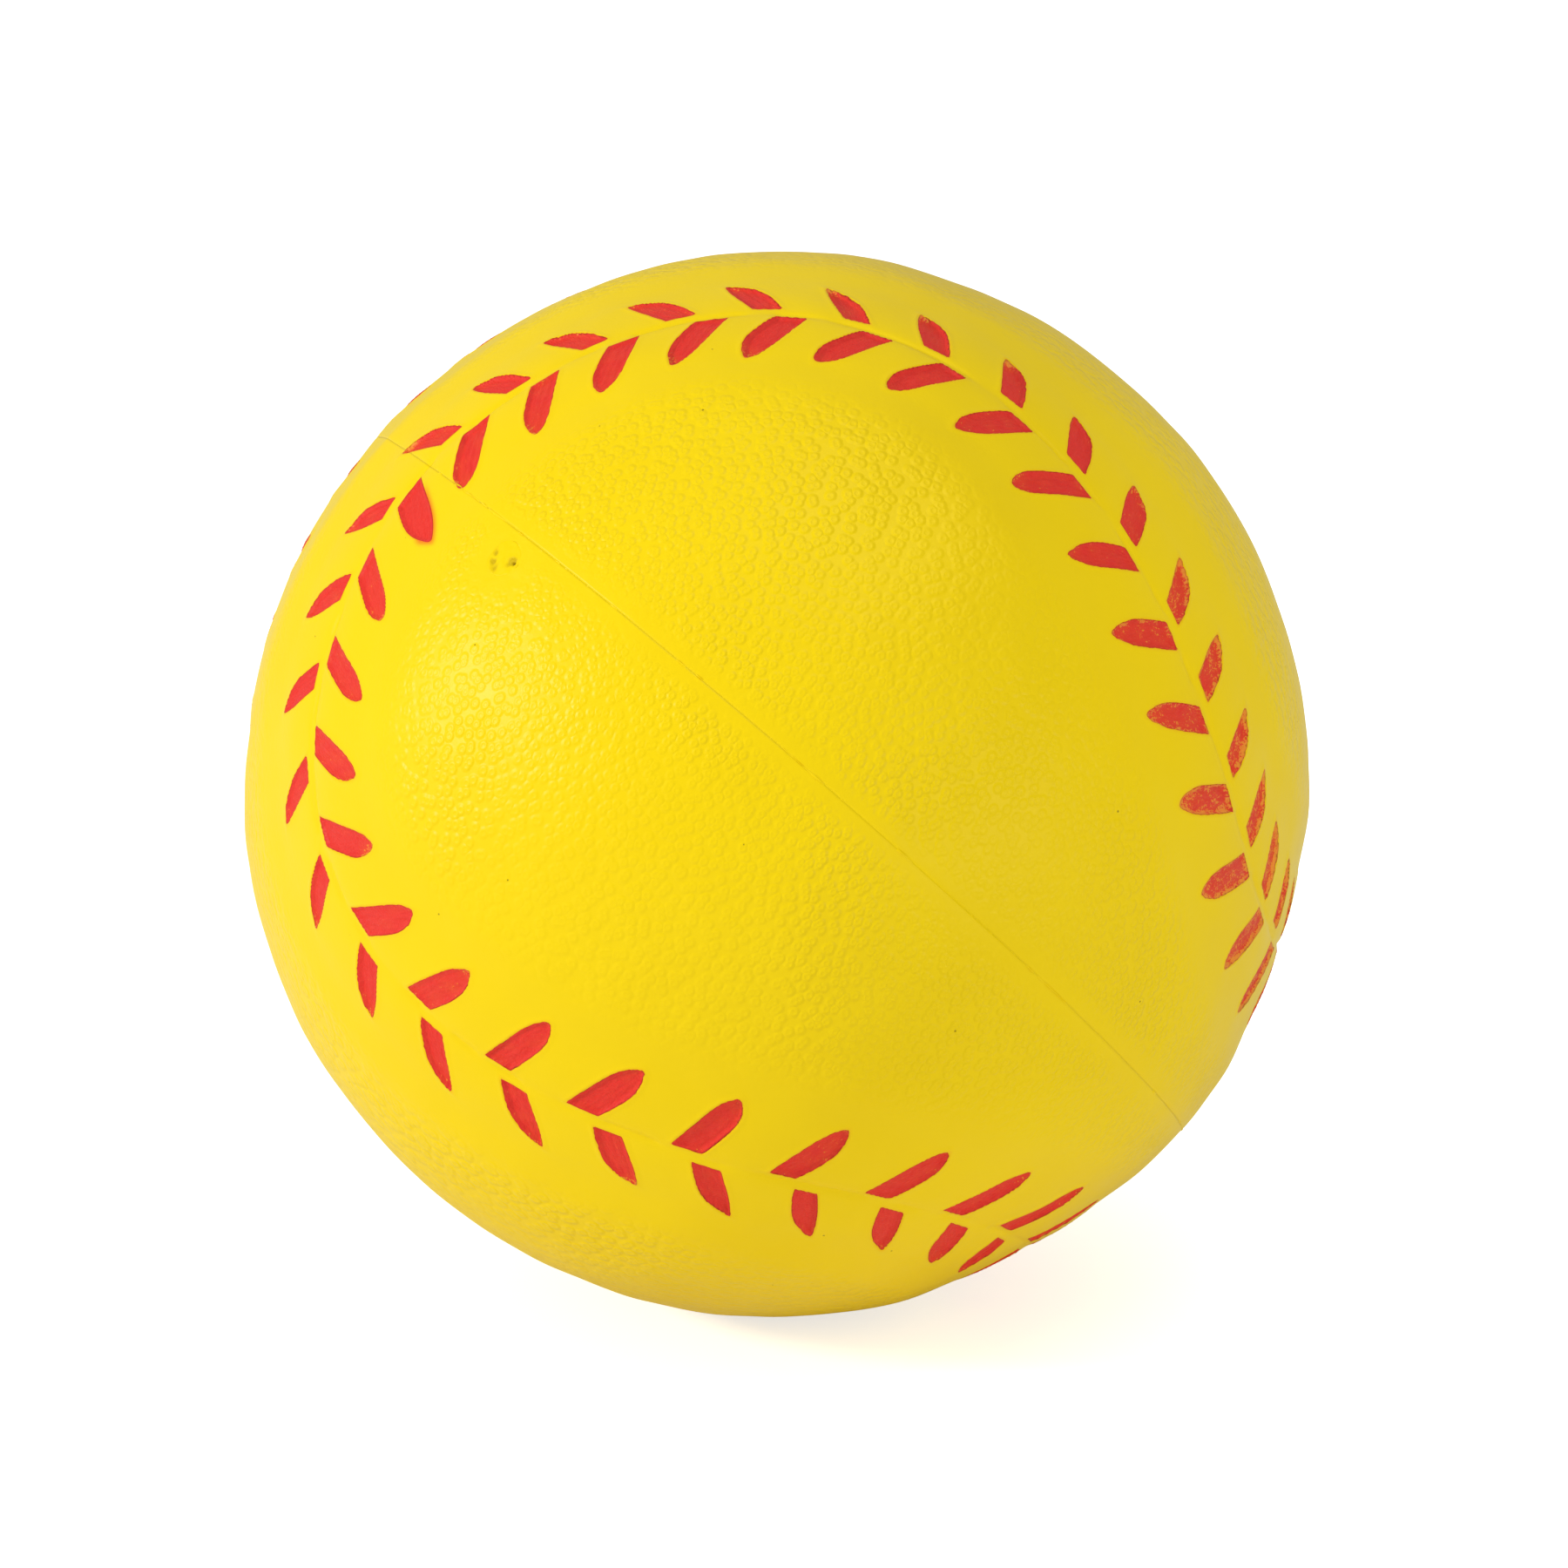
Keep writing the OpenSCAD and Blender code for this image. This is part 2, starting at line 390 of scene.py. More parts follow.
def pour_hole(spot, nub_far):
    """How far the skin falls away under the pour plug, in mm."""
    ragged = nub_far + 0.04 * waves(spot, 1.1, seed=7)
    return HOLE_DEEP * (1 - smooth(NUB_R - 0.3, NUB_R - 0.1, ragged))


def relief(p):
    """The skin's height over the true ball, in mm, and what the materials need, at unit vectors p."""
    spot = p * BALL_R
    far = seam_distance(p)
    leaf, number, place = nearest_leaf(p)
    band = 1 - smooth(*BAND_EDGE, far)
    high = -BAND_DIP * band
    high -= VALLEY * np.exp(-(np.sqrt(far ** 2 + VALLEY_ROUND ** 2) - VALLEY_ROUND) / VALLEY_W)
    high -= CREASE * np.exp(-(far / CREASE_W) ** 2) * smooth(-0.9, 0.6, waves(spot, 3, seed=5))
    gaps = of_stitches("gap")[number]
    collar = COLLAR * (1 - smooth(*COLLAR_EDGE, leaf)) * (1 - smooth(-0.2, 0.3, gaps - far))
    ridges = RIDGE * np.sin(place[:, 1] * RIDGE_RATE + number) * smooth(0.1, 0.4, -leaf)
    floor = 1 - smooth(*POCKET_WALL, leaf)
    high += collar - (POCKET + COLLAR) * floor + ridges
    high += SWELL * waves(spot, 12, seed=1) * (1 - floor) + SMALL_SWELL * waves(spot, 3.5, seed=2)
    line = spot[:, 2]
    high -= TRIM_CUT * (1 - trim(p)) * np.exp(-(line / TRIM_CUT_W) ** 2)
    high += STEP * smooth(-STEP_W, STEP_W, line) * (1 - smooth(STEP_W, STEP_FADE, np.abs(line)))
    nub_far = nub_distance(p)
    dish = 1 - smooth(*SCAR_EDGE, nub_far + 0.18 * waves(spot, 1.1, seed=7))
    high -= SCAR_DISH * dish + pour_hole(spot, nub_far)
    uneven = 0.55 + 0.45 * smooth(-0.6, 0.9, waves(spot, 14, seed=3))
    grain = smooth(*GRAIN_EDGE, far) * uneven
    grain *= smooth(*GRAIN_FROM_LINE, np.abs(line)) * smooth(*GRAIN_FROM_NUB, nub_far)
    return {"high": high, "leaf": leaf, "number": number, "place": place, "grain": grain}


# Meshes: unit vectors and triangles, as arrays

def half_sphere(cuts, side):
    """Half of a sphere, made from an octahedron, with corners exactly on the parting plane."""
    points, numbers = [], {}

    def corner(i, j, k):
        key = (i, j, k)
        if key not in numbers:
            numbers[key] = len(points)
            points.append([math.sin(math.pi / 2 * c / cuts) for c in key])
        return numbers[key]

    faces = []
    for sx in (1, -1):
        for sy in (1, -1):
            for a in range(cuts):
                for b in range(cuts - a):
                    c = cuts - a - b
                    ring = [corner(sx * a, sy * b, side * c),
                            corner(sx * (a + 1), sy * b, side * (c - 1)),
                            corner(sx * a, sy * (b + 1), side * (c - 1))]
                    faces.append(ring[::sx * sy * side])
                    if c > 1:
                        ring = [ring[1], corner(sx * (a + 1), sy * (b + 1), side * (c - 2)), ring[2]]
                        faces.append(ring[::sx * sy * side])
    return unit(np.array(points)), np.array(faces)


def edge_keys(faces, count):
    """Each face's three edges ab, bc and ca as one whole number each, the same from both sides."""
    ends = np.stack([faces, np.roll(faces, -1, axis=1)], -1)
    return ends.min(-1) * count + ends.max(-1)


def flat_place(p):
    """A flat map of each half, in mm, that keeps small circles nearly round, for the grain."""
    height = np.abs(p[:, 2])
    angle = np.arccos(np.clip(height, 0, 1))
    reach = (angle + 2 * np.tan(angle / 2)) / 2 * BALL_R
    across = np.maximum(np.hypot(p[:, 0], p[:, 1]), 1e-9)
    return np.stack([p[:, 0] / across * reach, p[:, 1] / across * reach, 0 * height], -1)


def in_zone(p, reaches):
    """Which unit vectors p lie within the reaches of a stitch, the seam, the parting line or the nub."""
    leaf, _, _ = nearest_leaf(p)
    line = np.abs(p[:, 2] * BALL_R)
    distances = (leaf, seam_distance(p), line, nub_distance(p))
    return np.any([distance < reach for distance, reach in zip(distances, reaches)], axis=0)


def refined(points, faces, reaches):
    """Splits every edge whose middle is in the zone, so that each triangle becomes one to four."""
    count = len(points)
    edges, which = np.unique(edge_keys(faces, count), return_inverse=True)
    which = which.reshape(-1, 3)
    middles = unit(points[edges // count] + points[edges % count])
    split = in_zone(middles, reaches)
    numbers = np.full(len(edges), -1)
    numbers[split] = count + np.arange(split.sum())
    cut = numbers[which]
    has = cut >= 0
    made = [faces[~has.any(1)]]
    for turn in range(3):
        f, m = np.roll(faces, -turn, axis=1), np.roll(cut, -turn, axis=1)
        on = m >= 0
        one = on[:, 0] & ~on[:, 1] & ~on[:, 2]
        two = on[:, 0] & on[:, 1] & ~on[:, 2]
        a, b, c = f[one].T
        ab = m[one, 0]
        made += [np.stack(t, -1) for t in ((a, ab, c), (ab, b, c))]
        a, b, c = f[two].T
        ab, bc = m[two, 0], m[two, 1]
        made += [np.stack(t, -1) for t in ((ab, b, bc), (a, ab, bc), (a, bc, c))]
    whole = has.all(1)
    a, b, c = faces[whole].T
    ab, bc, ca = cut[whole].T
    made += [np.stack(t, -1) for t in ((a, ab, ca), (b, bc, ab), (c, ca, bc), (ab, bc, ca))]
    return np.concatenate([points, middles[split]]), np.concatenate(made)


def open_edges(faces, count):
    """The edges that only one face has, each in its face's own direction."""
    keys = edge_keys(faces, count)
    values, times = np.unique(keys, return_counts=True)
    single = np.isin(keys, values[times == 1])
    ends = np.stack([faces, np.roll(faces, -1, axis=1)], -1)
    return ends[single]


def clipped(faces, value):
    """The part of a mesh where value is under 0. Its corners are (corner a, corner b, share of b).

    A corner's key is a * count + b. An old corner has a for its b, so its key is a * (count + 1).
    """
    count = len(value)
    inside = value < 0
    amount = inside[faces].sum(1)
    kept = [faces[amount == 3] * (count + 1)]

    def crossing(a, b):
        return np.minimum(a, b) * count + np.maximum(a, b)

    for turn in range(3):
        f = np.roll(faces, -turn, axis=1)
        into = inside[f]
        lone = (amount == 1) & into[:, 0]
        pair = (amount == 2) & ~into[:, 2]
        a, b, c = f[lone].T
        kept.append(np.stack([a * (count + 1), crossing(a, b), crossing(a, c)], -1))
        a, b, c = f[pair].T
        kept.append(np.stack([a * (count + 1), b * (count + 1), crossing(b, c)], -1))
        kept.append(np.stack([a * (count + 1), crossing(b, c), crossing(a, c)], -1))
    keys, numbers = np.unique(np.concatenate(kept), return_inverse=True)
    a, b = keys // count, keys % count
    gap = value[a] - value[b]
    share = np.where(a == b, 0, value[a] / np.where(gap == 0, 1, gap))
    return numbers.reshape(-1, 3), a, b, np.clip(share, 0, 1)


def in_frame(points):
    """Millimetres in the mould's axes as metres in the frame."""
    return points @ LIE.T * MM


def new_piece(name, points, faces, attributes, flat_from=None):
    """A mesh object from points in mm in the mould's axes. Faces from flat_from on are shaded flat."""
    mesh = bpy.data.meshes.new(name)
    mesh.from_pydata(in_frame(points).tolist(), [], faces.tolist())
    mesh.shade_smooth()
    if flat_from is not None:
        flat = mesh.attributes.new("sharp_face", "BOOLEAN", "FACE")
        flat.data.foreach_set("value", np.arange(len(faces)) >= flat_from)
    rest = mesh.attributes.new("rest", "FLOAT_VECTOR", "POINT")
    rest.data.foreach_set("vector", (points @ LIE.T).astype(np.float32).ravel())
    for key, values in attributes.items():
        values = np.asarray(values, np.float32)
        if values.ndim > 1:
            mesh.attributes.new(key, "FLOAT_VECTOR", "POINT").data.foreach_set("vector", values.ravel())
        else:
            mesh.attributes.new(key, "FLOAT", "POINT").data.foreach_set("value", values)
    mesh.validate()
    obj = bpy.data.objects.new(name, mesh)
    bpy.context.scene.collection.objects.link(obj)
    return obj


# Skin

def zipped(outer, inner):
    """Triangles between two rings of (corner number, angle), both in rising angle."""
    outer, inner = [sorted(ring, key=lambda c: c[1]) for ring in (outer, inner)]
    faces, i, j = [], 0, 0
    while i < len(outer) or j < len(inner):
        a, b = outer[i % len(outer)], inner[j % len(inner)]
        next_a = outer[(i + 1) % len(outer)][1] + 2 * math.pi * ((i + 1) // len(outer))
        next_b = inner[(j + 1) % len(inner)][1] + 2 * math.pi * ((j + 1) // len(inner))
        if j >= len(inner) or (i < len(outer) and next_a <= next_b):
            faces.append([a[0], outer[(i + 1) % len(outer)][0], b[0]])
            i += 1
        else:
            faces.append([a[0], inner[(j + 1) % len(inner)][0], b[0]])
            j += 1
    return faces


def ring_of(points, faces, first=0):
    """The corners on the parting plane as (number, angle) pairs."""
    on = sorted({int(i) for i in open_edges(faces, len(points)).ravel()})
    return [(i + first, math.atan2(points[i][1], points[i][0])) for i in on]


def stain_of(shape):
    """How far red has run into the skin, from 0 to 1: most on one side of the smeared stitch."""
    x, y = shape["place"].T
    blurred = smooth(-0.3, 0.5, y + 0.35 * x - 0.3)
    halo = np.exp(-(np.maximum(shape["leaf"] - 0.14, 0) / 0.2) ** 2) * blurred
    halo *= shape["number"] == SMEARED
    return np.maximum(halo, 0.3 * np.exp(-(shape["leaf"] / 0.12) ** 2))


def skin_half(side):
    """One half of the skin, from the outside down to the foam, and what the paint needs of it."""
    points, faces = half_sphere(SPHERE_CUTS, side)
    for reaches in HALVINGS:
        points, faces = refined(points, faces, reaches)
    shape = relief(points)
    outer = points * (BALL_R + shape["high"])[:, None]
    inner_points, inner_faces = half_sphere(INNER_CUTS, side)
    count = len(points)
    rim = np.array(zipped(ring_of(points, faces), ring_of(inner_points, inner_faces, count)))
    if side > 0:
        rim = rim[:, ::-1]
    everything = np.concatenate([faces, inner_faces[:, ::-1] + count, rim])
    all_points = np.concatenate([outer, inner_points * CORE_R])
    padding = np.zeros(len(inner_points))
    attributes = {
        "grain": np.concatenate([shape["grain"], padding]),
        "stain": np.concatenate([stain_of(shape), padding]),
        "flat": flat_place(np.concatenate([points, inner_points])),
    }
    name = "skin_upper_shell" if side > 0 else "skin_lower_shell"
    piece = new_piece(name, all_points, everything, attributes, flat_from=len(faces) + len(inner_faces))
    return piece, points, faces, shape


# Paint

def thinness(spot, number, outer_end):
    """How thin the paint is, from 0 to 1."""
    facing = (of_stitches("middle") @ LIE.T) @ unit(np.array(WORN_WAY))
    base_thin = 0.05 + 0.85 * smooth(*WORN_EDGE, facing) + of_stitches("thin")
    patches = 0.12 * waves(spot, 1.2, seed=33)
    thin = base_thin[number] + of_stitches("end_thin")[number] * outer_end + patches
    return np.where(number == SMEARED, 0, np.clip(thin, 0, 1))


def film_of(points, faces, shape, row, side):
    """The red film in one row's pockets in one half: a thin closed shell on the pocket floors."""
    spot = points * BALL_R
    number, place = shape["number"], shape["place"]
    outer_end = smooth(0.25, 0.95, place[:, 0] / (of_stitches("long") / 2)[number])
    one_side = smooth(-0.2, 0.5, place[:, 1])
    ragged = 0.008 + 0.022 * outer_end + 0.01 * one_side
    noise = waves(spot, 0.35, seed=31) * 0.6 + waves(spot, 0.9, seed=32) * 0.6
    spill = np.where(number == SMEARED, -0.1 * one_side, ragged * noise)
    mask = shape["leaf"] - FILM_OVER + spill
    mask = np.where(of_stitches("row")[number] == row, mask, 1.0)
    new_faces, a, b, share = clipped(faces, mask)

    def carried(values):
        if values.ndim > 1:
            return values[a] * (1 - share)[:, None] + values[b] * share[:, None]
        return values[a] * (1 - share) + values[b] * share

    base = carried(points * (BALL_R + shape["high"])[:, None])
    edge = carried(np.maximum(-mask, 0))
    lift = unit(base) * FILM * (0.45 + 0.55 * smooth(0, 0.15, edge))[:, None]
    blade = np.column_stack([place, number * BLADE_APART])
    count = len(base)
    rims = open_edges(new_faces, count)
    walls = np.concatenate([
        np.stack([rims[:, 1], rims[:, 0], rims[:, 0] + count], -1),
        np.stack([rims[:, 1], rims[:, 0] + count, rims[:, 1] + count], -1),
    ])
    everything = np.concatenate([new_faces, new_faces[:, ::-1] + count, walls])
    film = np.concatenate([base + lift, base - lift])
    attributes = {
        "edge": np.tile(edge, 2),
        "thin": np.tile(carried(thinness(spot, number, outer_end)), 2),
        "blade": np.tile(carried(blade), (2, 1)),
    }
    half = "upper" if side > 0 else "lower"
    return new_piece(f"stitch_film_row{row}_{half}", film, everything, attributes)


# Parting bead, pour plug and foam

def parting_bead():
    """What trimming left of the flash: a ring whose bead rises and sinks into the skin."""
    turns = np.linspace(0, 2 * math.pi, RING_STEPS, endpoint=False)
    ring = np.stack([np.cos(turns), np.sin(turns), np.zeros(RING_STEPS)], -1)
    ground = BALL_R + relief(ring)["high"]
    spot = ring * BALL_R
    stands = trim(ring)
    height = -BEAD_SUNK + BEAD_RISE * smooth(0.6, 1, stands) * (0.7 + 0.3 * waves(spot, 0.8, seed=41))
    half_w = BEAD_HALF_W + 0.02 * waves(spot, 1.3, seed=42)
    drift = 0.03 * waves(spot, 2.5, seed=43)
    rows = []
    for across, up in BEAD_OUTLINE:
        rise = up * height if up > 0 else up * BEAD_DEEP - 0.02
        point = ring * (ground + rise)[:, None]
        point[:, 2] += drift + across * half_w
        rows.append(point)
    points = np.stack(rows, 1).reshape(-1, 3)
    sides, faces = len(BEAD_OUTLINE), []
    for i in range(RING_STEPS):
        for j in range(sides):
            here, after = i * sides, (i + 1) % RING_STEPS * sides
            beside = (j + 1) % sides
            faces.append([here + j, after + j, after + beside, here + beside])
    return new_piece("parting_bead", points, np.array(faces), {})


def dent(aside, down, middle_aside, middle_down, half_w, half_h):
    """A smooth dent in the plug's end, from 0 to 1."""
    return np.exp(-((aside - middle_aside) / half_w) ** 2 - ((down - middle_down) / half_h) ** 2)


def pour_plug():
    """The foam left in the pour hole, cut off just under the surface, with two torn places in its end."""
    points = [NUB_OUT * (BALL_R - PLUG_DEEP)]
    levels = [(r / PLUG_BASE_RINGS, -PLUG_DEEP) for r in range(1, PLUG_BASE_RINGS + 1)]
    levels += [(1, -deep) for deep in PLUG_WALL]
    levels += [(r / PLUG_RINGS, 0.0) for r in range(PLUG_RINGS, 0, -1)]
    turns = np.linspace(0, 2 * math.pi, PLUG_STEPS, endpoint=False)
    outline = NUB_R * (1.03 + 0.02 * np.sin(3 * turns + 1))
    torn, pinhole = [0.0], [0.0]
    for share, up in levels:
        x, y = share * outline * np.cos(turns), share * outline * np.sin(turns)
        spot = x[:, None] * NUB_X + y[:, None] * NUB_Y + NUB_OUT * BALL_R
        way = unit(spot)
        rough = waves(spot, 0.45, seed=51)
        aside, down = (x + y) * 0.7, (x - y) * 0.7
        tears = dent(aside, down, *LONG_TEAR) + dent(aside, down, *SHORT_TEAR)
        tear = np.clip(1.6 * tears * (1.0 + 0.4 * rough) - 0.15, 0, 1)
        pin = dent(aside, down, *PINHOLE)
        high = np.full(PLUG_STEPS, up)
        if up == 0:
            high = relief(way)["high"] + pour_hole(spot, nub_distance(way)) + 0.008
            high += 0.008 * rough - TEAR_DEEP * tear - PINHOLE_DEEP * pin - 0.02 * smooth(0.93, 1, share)
        points.extend(way * (BALL_R + high)[:, None])
        torn.extend(tear)
        pinhole.extend(pin)
    points.append(points[-1])
    torn.append(0.0)
    pinhole.append(0.0)
    points = np.array(points)
    faces, count = [], len(levels)
    for j in range(PLUG_STEPS):
        after = (j + 1) % PLUG_STEPS
        faces.append([0, 1 + after, 1 + j])
        for i in range(count - 1):
            a, b = 1 + i * PLUG_STEPS, 1 + (i + 1) * PLUG_STEPS
            faces.append([a + j, a + after, b + after])
            faces.append([a + j, b + after, b + j])
        last = 1 + (count - 1) * PLUG_STEPS
        faces.append([last + j, last + after, len(points) - 1])
    return new_piece("pour_plug", points, np.array(faces), {"torn": torn, "pinhole": pinhole})


def foam_body():
    """The foam inside the skin, with its open cells as small hollows all over."""
    upper, upper_faces = half_sphere(FOAM_CUTS, 1)
    lower, lower_faces = half_sphere(FOAM_CUTS, -1)
    points = np.concatenate([upper, lower])
    faces = np.concatenate([upper_faces, lower_faces + len(upper)])
    _, first, same = np.unique(np.round(points, 9), axis=0, return_index=True, return_inverse=True)
    points, faces = points[first], same.ravel()[faces]
    cells = np.abs(waves(points * CORE_R, 2.2, seed=61)) + 0.5 * np.abs(waves(points * CORE_R, 1.4, seed=62))
    high = -0.05 - 0.12 * np.clip(cells, 0, 2)
    return new_piece("foam_body", points * (CORE_R + high)[:, None], faces, {})


# Materials

class Shader:
    """A material whose nodes are made by short calls, from numbers, colours and other nodes' outputs."""

    def __init__(self, name):
        self.material = bpy.data.materials.new(name)
        self.material.use_nodes = True
        self.tree = self.material.node_tree
        self.surface = self.tree.nodes["Principled BSDF"]

    def set(self, node, inputs):
        for key, value in inputs.items():
            if isinstance(value, bpy.types.NodeSocket):
                self.tree.links.new(value, node.inputs[key])
            else:
                node.inputs[key].default_value = value

    def node(self, kind, inputs, **settings):
        made = self.tree.nodes.new(kind)
        for key, value in settings.items():
            setattr(made, key, value)
        self.set(made, inputs)
        return made

    def attribute(self, name, output="Fac"):
        return self.node("ShaderNodeAttribute", {}, attribute_name=name).outputs[output]

    def math(self, operation, a, b=0.0, clamp=False):
        made = self.node("ShaderNodeMath", {0: a, 1: b}, operation=operation, use_clamp=clamp)
        return made.outputs[0]

    def noise(self, where, scale, detail=2.0, rough=0.5):
        made = self.node("ShaderNodeTexNoise", {"Vector": where, "Scale": scale, "Detail": detail,
                                                "Roughness": rough})
        return made.outputs["Fac"]

    def cells(self, where, scale, random=1.0, **settings):
        made = self.node("ShaderNodeTexVoronoi", {"Vector": where, "Scale": scale, "Randomness": random},
                         **settings)
        return made.outputs["Distance"]

    def ramp(self, value, stops):
        """Stops are (place, level) pairs with levels from 0 to 1."""
        made = self.node("ShaderNodeValToRGB", {"Fac": value})
        band = made.color_ramp
        band.interpolation = "EASE"
        while len(band.elements) < len(stops):
            band.elements.new(0.5)
        for element, (place, level) in zip(band.elements, stops):
            element.position = place
            element.color = (level, level, level, 1)
        return made.outputs["Color"]

    def mix(self, share, a, b):
        made = self.node("ShaderNodeMix", {}, data_type="RGBA")
        self.set(made, {0: share, 6: a, 7: b})
        return made.outputs[2]

    def bump(self, height, distance):
        inputs = {"Height": height, "Distance": distance, "Strength": 1.0}
        return self.node("ShaderNodeBump", inputs).outputs["Normal"]


# Colours, as linear light. A pair is mixed by noise
YELLOWS = ((0.91, 0.65, 0.001, 1), (0.94, 0.69, 0.002, 1))
STAIN = (0.93, 0.26, 0.01, 1)
SPECK = (0.22, 0.13, 0.008, 1)
REDS = ((0.72, 0.016, 0.010, 1), (0.90, 0.05, 0.032, 1))
THIN_RED = (0.84, 0.12, 0.012, 1)
WORN_RED = (0.93, 0.36, 0.03, 1)
# Painted shade: the dark red that darkens the paint's rim, standing in for the pocket's wall and groove in
# shade
RED_EDGE_SHADE = (0.42, 0.03, 0.004, 1)
TORN_FOAM = ((0.42, 0.27, 0.002, 1), (0.80, 0.56, 0.004, 1))
# Painted shade: the near-black that fills the pinhole, where there is only the hole's shade
PINHOLE_SHADE = (0.12, 0.07, 0.004, 1)
# The inner foam's pair is mixed by its cells as well as by noise: the darker colour sits in the cells'
# hollows as painted shade
FOAM_TONE_AND_HOLE_SHADE = ((0.62, 0.42, 0.05, 1), (0.90, 0.74, 0.16, 1))

# Scales of noise and cells below are in features per mm, and heights in mm
PEBBLES = 1.15
PEBBLE_HIGH = 0.053
PAINT_HIGH = 0.06
TORN_HIGH = 0.08
CELL_HIGH = 0.15


def yellow_skin():
    """Bright foam skin with pebbles between smooth bands, a fine tooth and a few dark specks."""
    s = Shader("yellow_foam_skin")
    rest = s.attribute("rest", "Vector")
    grain, stain = s.attribute("grain"), s.attribute("stain")
    dimples = [(0, 0.72), (0.1, 0.75), (0.24, 1), (0.62, 0)]
    flat = s.attribute("flat", "Vector")
    pebbles = s.ramp(s.cells(flat, PEBBLES, 0.85, voronoi_dimensions="2D"), dimples)
    fine = s.noise(rest, 3.2, 3)
    broad = s.noise(rest, 0.16, 3)
    specks = s.ramp(s.cells(rest, 0.36), [(0, 1), (0.013, 1), (0.025, 0)])
    yellow = s.mix(broad, *YELLOWS)
    stained = s.mix(stain, yellow, STAIN)
    dusty = s.mix(s.math("MULTIPLY", specks, 0.6), stained, SPECK)
    height = s.math("MULTIPLY", pebbles, grain)
    small = s.math("MULTIPLY", fine, 0.22)
    total = s.math("SUBTRACT", s.math("ADD", height, small), s.math("MULTIPLY", specks, 1.5))
    roughness = s.math("ADD", s.math("MULTIPLY", s.noise(rest, 0.5, 2), 0.1), 0.31)
    s.set(s.surface, {"Base Color": dusty, "Roughness": roughness, "Specular IOR Level": 0.13,
                      "Normal": s.bump(total, PEBBLE_HIGH * MM)})
    return s.material


def red_paint():
    """Red paint that is darkened at its rim by painted shade of the pocket's wall, streaked along the blades
    and worn through in specks.
    """
    s = Shader("red_stitch_paint")
    rest, blade = s.attribute("rest", "Vector"), s.attribute("blade", "Vector")
    thin, edge = s.attribute("thin"), s.attribute("edge")
    drawn = s.node("ShaderNodeVectorMath", {0: blade, 1: (0.4, 1, 1)}, operation="MULTIPLY").outputs[0]
    streaks = s.noise(drawn, 5.5, 3, 0.6)
    dots = s.math("ADD", s.math("MULTIPLY", s.noise(rest, 8.0, 2, 0.6), 0.55),
                  s.math("MULTIPLY", streaks, 0.45))
    fringe = s.ramp(edge, [(0.0, 1), (0.1, 0.75), (0.3, 0)])
    worn_there = s.math("MULTIPLY", thin, s.math("ADD", 0.17, s.math("MULTIPLY", fringe, 0.14)))
    bare = s.ramp(s.math("ADD", s.math("SUBTRACT", dots, 0.66), worn_there), [(0.0, 0), (0.07, 1)])
    red = s.mix(streaks, *REDS)
    warm = s.mix(s.math("MULTIPLY", thin, 0.4), red, THIN_RED)
    worn = s.mix(s.math("MULTIPLY", bare, 0.8), warm, WORN_RED)
    # The paint's rim is darkened with painted shade of the pocket's wall
    rim = s.ramp(edge, [(0.0, 1), (0.035, 0.8), (0.08, 0)])
    colour = s.mix(s.math("MULTIPLY", rim, 0.45), worn, RED_EDGE_SHADE)
    height = s.math("ADD", dots, s.math("MULTIPLY", streaks, 0.6))
    s.set(s.surface, {"Base Color": colour, "Roughness": 0.42, "Specular IOR Level": 0.2,
                      "Normal": s.bump(height, PAINT_HIGH * MM)})
    return s.material


def cut_foam():
    """The pour plug's trimmed end: closed like the skin, open and darker where it is torn, and with painted
    shade filling its pinhole.
    """
    s = Shader("cut_foam")
    rest = s.attribute("rest", "Vector")
    torn, pinhole = s.attribute("torn"), s.attribute("pinhole")
    grit = s.noise(rest, 5.0, 3)
    closed = s.mix(s.noise(rest, 0.16, 3), *YELLOWS)
    open_cells = s.mix(grit, *TORN_FOAM)
    ochre = s.mix(s.math("MULTIPLY", torn, s.math("ADD", grit, 0.4), clamp=True), closed, open_cells)
    # The pinhole is filled with painted shade
    colour = s.mix(pinhole, ochre, PINHOLE_SHADE)
    s.set(s.surface, {"Base Color": colour, "Roughness": 0.4, "Specular IOR Level": 0.08,
                      "Normal": s.bump(s.math("MULTIPLY", grit, torn), TORN_HIGH * MM)})
    return s.material


def open_foam():
    """The foam inside, with open cells whose hollows are darkened with painted shade, and a tone that
    differs at random.
    """
    s = Shader("open_foam")
    rest = s.attribute("rest", "Vector")
    holes = s.ramp(s.cells(rest, 1.1), [(0, 0), (0.28, 0.15), (0.5, 1)])
    tone = s.noise(rest, 1.2, 3)
    # Painted shade in the cells' hollows, varied by a random tone
    colour = s.mix(s.math("MULTIPLY", holes, tone), *FOAM_TONE_AND_HOLE_SHADE)
    s.set(s.surface, {"Base Color": colour, "Roughness": 0.8, "Specular IOR Level": 0.3,
                      "Normal": s.bump(holes, CELL_HIGH * MM)})
    return s.material


# Stage, light and camera

# The camera's rise over the desk, its distance in ball radii, and its lens
CAMERA_RISE = math.radians(15)
CAMERA_FAR = 14.78
SENSOR_MM = 36
LENS_MM = 180.5
CAMERA_SHIFT = 0.005
RIGHT = Vector((1, 0, 0))
UP = Vector((0, math.sin(CAMERA_RISE), math.cos(CAMERA_RISE)))
TOWARD = Vector((0, -math.cos(CAMERA_RISE), math.sin(CAMERA_RISE)))


# Each light's direction from the ball, as right, up and toward the camera, its size in m and power in W
LIGHTS = {
    "key_left": (-0.88, 0.27, 0.39, 0.13, 3.4),
    "top_soft": (0.2, 0.82, 0.53, 0.45, 1.5),
    "fill_right": (0.7, -0.2, 0.69, 0.4, 2.0),
}
LIGHT_FAR = 0.8
ROOM_LIGHT = 0.43

